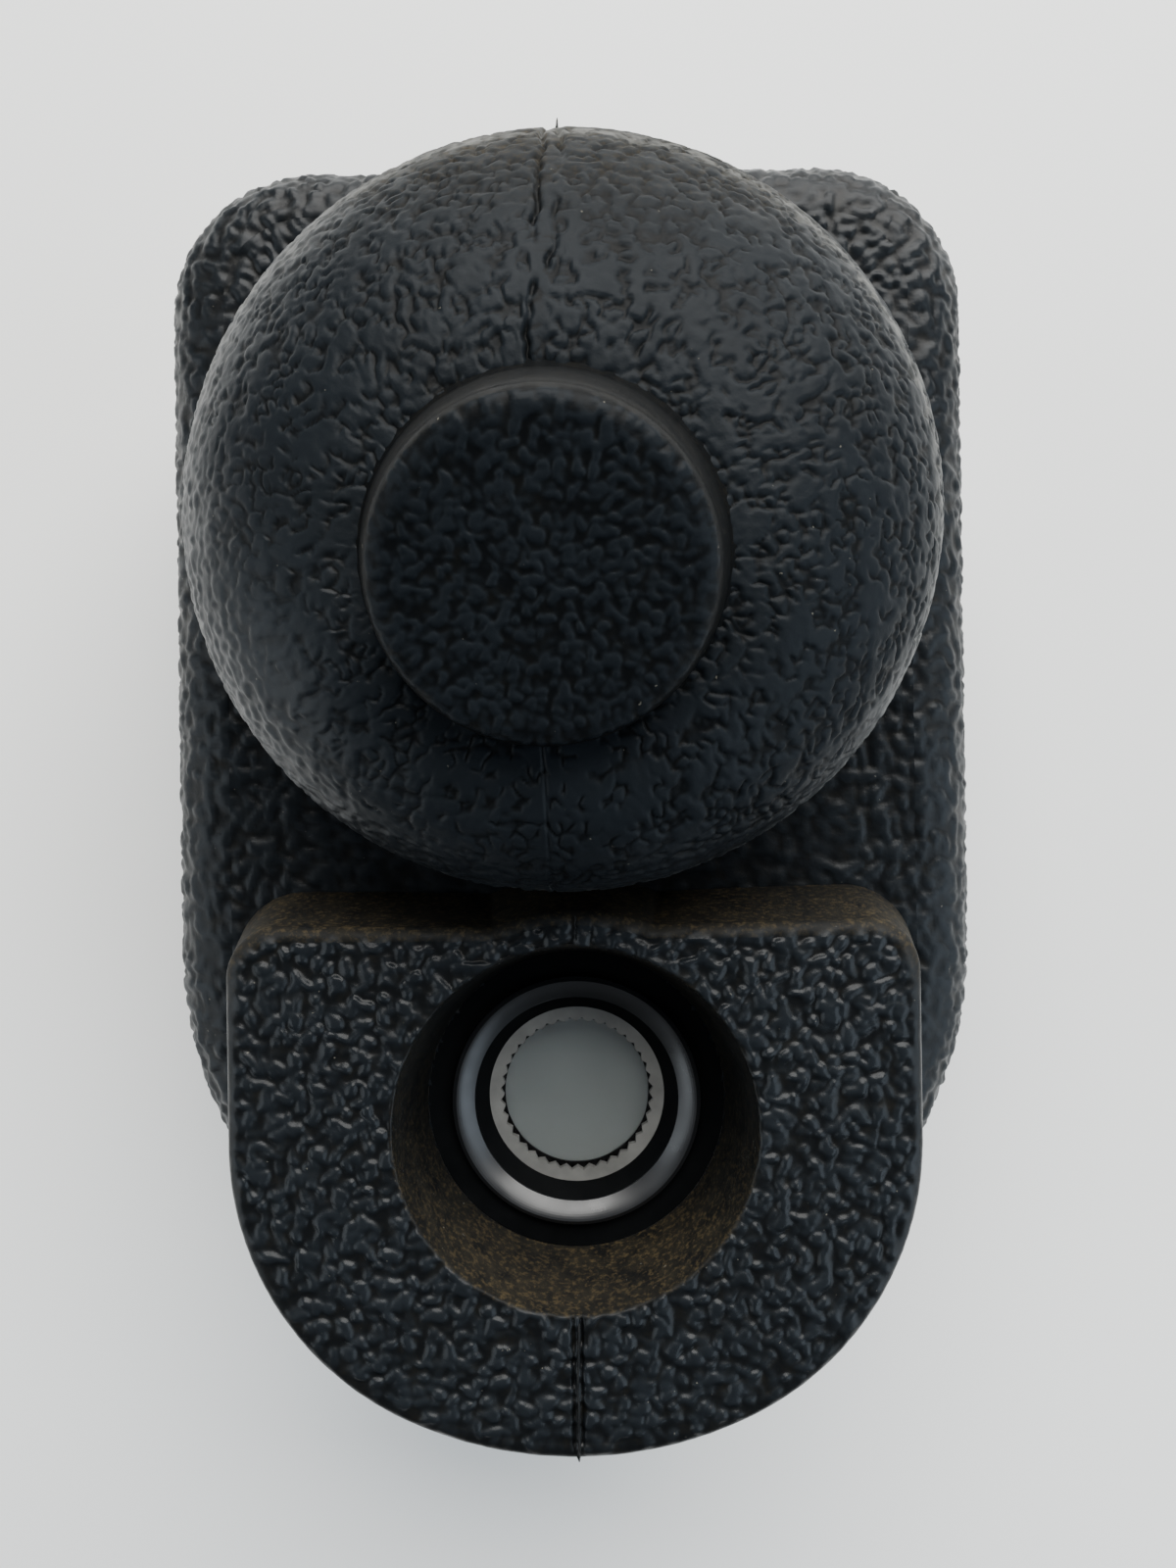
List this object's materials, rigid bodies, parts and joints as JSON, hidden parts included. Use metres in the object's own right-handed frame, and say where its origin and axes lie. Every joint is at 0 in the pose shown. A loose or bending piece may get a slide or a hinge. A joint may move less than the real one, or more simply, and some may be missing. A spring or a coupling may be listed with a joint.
{
  "type": "stereo camera",
  "caption": "Rubber-armoured stereo camera lying on its back, one eye open in a D-shaped lens block, the other under a domed push-on cap with a leaning nub.",
  "frame": {"origin": "on the back rim plane, under the middle of the whole camera", "axes": "+X across the film towards the knob side, +Y along the film towards the capped eye, +Z along the optical axes towards the subject"},
  "size_m": [0.0988, 0.155, 0.0922],
  "materials": {
    "armour": "pebble-grained moulded rubber, satin",
    "block_rubber": "pebble-grained moulded rubber, satin",
    "brass_parts": "machined brass",
    "screw_steel": "plain steel",
    "spring_steel": "drawn spring wire",
    "seal_rubber": "matt black rubber or foam",
    "black_anodised": "black anodised, matt",
    "bezel_black": "glossy black",
    "ring_metal": "dull machined metal",
    "lens_glass": "clear coated glass",
    "plate_aluminium": "satin sheet",
    "blade_metal": "satin grey metal",
    "knob_metal": "satin turned metal",
    "button_plastic": "black plastic",
    "cassette_tin": "yellow lacquered tin",
    "film_base": "wound film",
    "cover_paint": "black crinkle paint"
  },
  "bodies": {
    "body": {"shell": "armour", "tripod_bush": "brass_parts", "left_lens_block": "block_rubber", "right_lens_block": "block_rubber", "block_screws": "screw_steel", "cap_o_ring": "seal_rubber", "left_front_cell": "black_anodised", "right_front_cell": "black_anodised", "left_bezel": "bezel_black", "right_bezel": "bezel_black", "left_retaining_ring": "ring_metal", "right_retaining_ring": "ring_metal", "left_front_lens": "lens_glass", "right_front_lens": "lens_glass", "left_rear_cell": "black_anodised", "right_rear_cell": "black_anodised", "left_rear_lens": "lens_glass", "right_rear_lens": "lens_glass", "shutter_plate": "plate_aluminium", "shutter_guides": "brass_parts", "chassis_screws": "screw_steel", "left_dark_chamber": "black_anodised", "right_dark_chamber": "black_anodised", "gate_plate": "plate_aluminium", "top_side_plate": "plate_aluminium", "bottom_side_plate": "plate_aluminium", "idler_studs": "screw_steel", "cassette_cradle": "screw_steel", "film_cassette": "cassette_tin", "release_bracket": "screw_steel", "hinge_pin": "screw_steel", "light_seal": "seal_rubber", "shutter_spring": "spring_steel", "release_spring": "spring_steel"},
    "shutter": {"shutter_slide": "blade_metal"},
    "release": {"release_button": "button_plastic"},
    "takeup": {"takeup_spool": "button_plastic", "wind_shaft": "screw_steel", "wind_knob": "knob_metal", "takeup_gear": "brass_parts"},
    "idler_a": {"idler_gear_a": "brass_parts"},
    "idler_b": {"idler_gear_b": "brass_parts"},
    "sprocket_drive": {"sprocket": "plate_aluminium", "sprocket_shaft": "screw_steel", "sprocket_gear": "brass_parts", "counter_dial": "knob_metal"},
    "rewind": {"cassette_spool": "button_plastic", "film_roll": "film_base", "rewind_shaft": "screw_steel", "rewind_knob": "knob_metal"},
    "back": {"back_cover": "cover_paint", "detent_balls": "screw_steel", "pressure_plate": "black_anodised", "pressure_springs": "spring_steel"},
    "cap": {"lens_cap": "armour", "cap_liner": "seal_rubber"}
  },
  "joints": [
    {"name": "cap_lift", "type": "slide", "parent": "body", "child": "cap", "axis": [0, 0, 1], "range_m": [0, 0.04]},
    {"name": "cover_hinge", "type": "hinge", "parent": "body", "child": "back", "pos_m": [-0.0386, 0, 0.002], "axis": [0, 1, 0], "range_deg": [0, 95]},
    {"name": "release_press", "type": "slide", "parent": "body", "child": "release", "axis": [-1, 0, 0], "range_m": [0, 0.0025], "stiffness_N_per_m": 300, "springref_m": -0.002, "deforming": ["release_spring"]},
    {"name": "shutter_slide_travel", "type": "slide", "parent": "body", "child": "shutter", "axis": [0, 1, 0], "range_m": [0, 0.02], "deforming": ["shutter_spring"]},
    {"name": "windup_turn", "type": "hinge", "parent": "body", "child": "takeup", "pos_m": [0, -0.0576, 0.02], "axis": [1, 0, 0], "continuous": true},
    {"name": "idler_a_turn", "type": "hinge", "parent": "body", "child": "idler_a", "pos_m": [0, -0.04066, 0.01855], "axis": [1, 0, 0], "continuous": true},
    {"name": "idler_b_turn", "type": "hinge", "parent": "body", "child": "idler_b", "pos_m": [0, -0.01974, 0.01675], "axis": [1, 0, 0], "continuous": true},
    {"name": "sprocket_turn", "type": "hinge", "parent": "body", "child": "sprocket_drive", "pos_m": [0, -0.0028, 0.0153], "axis": [1, 0, 0], "continuous": true},
    {"name": "rewind_turn", "type": "hinge", "parent": "body", "child": "rewind", "pos_m": [0, 0.058, 0.017], "axis": [1, 0, 0], "continuous": true}
  ],
  "couplings": [
    {"joint": "shutter_slide_travel", "follows": "release_press", "ratio": 8},
    {"joint": "idler_a_turn", "follows": "windup_turn", "ratio": -0.61905},
    {"joint": "idler_b_turn", "follows": "windup_turn", "ratio": 0.61905},
    {"joint": "sprocket_turn", "follows": "windup_turn", "ratio": -1}
  ]
}
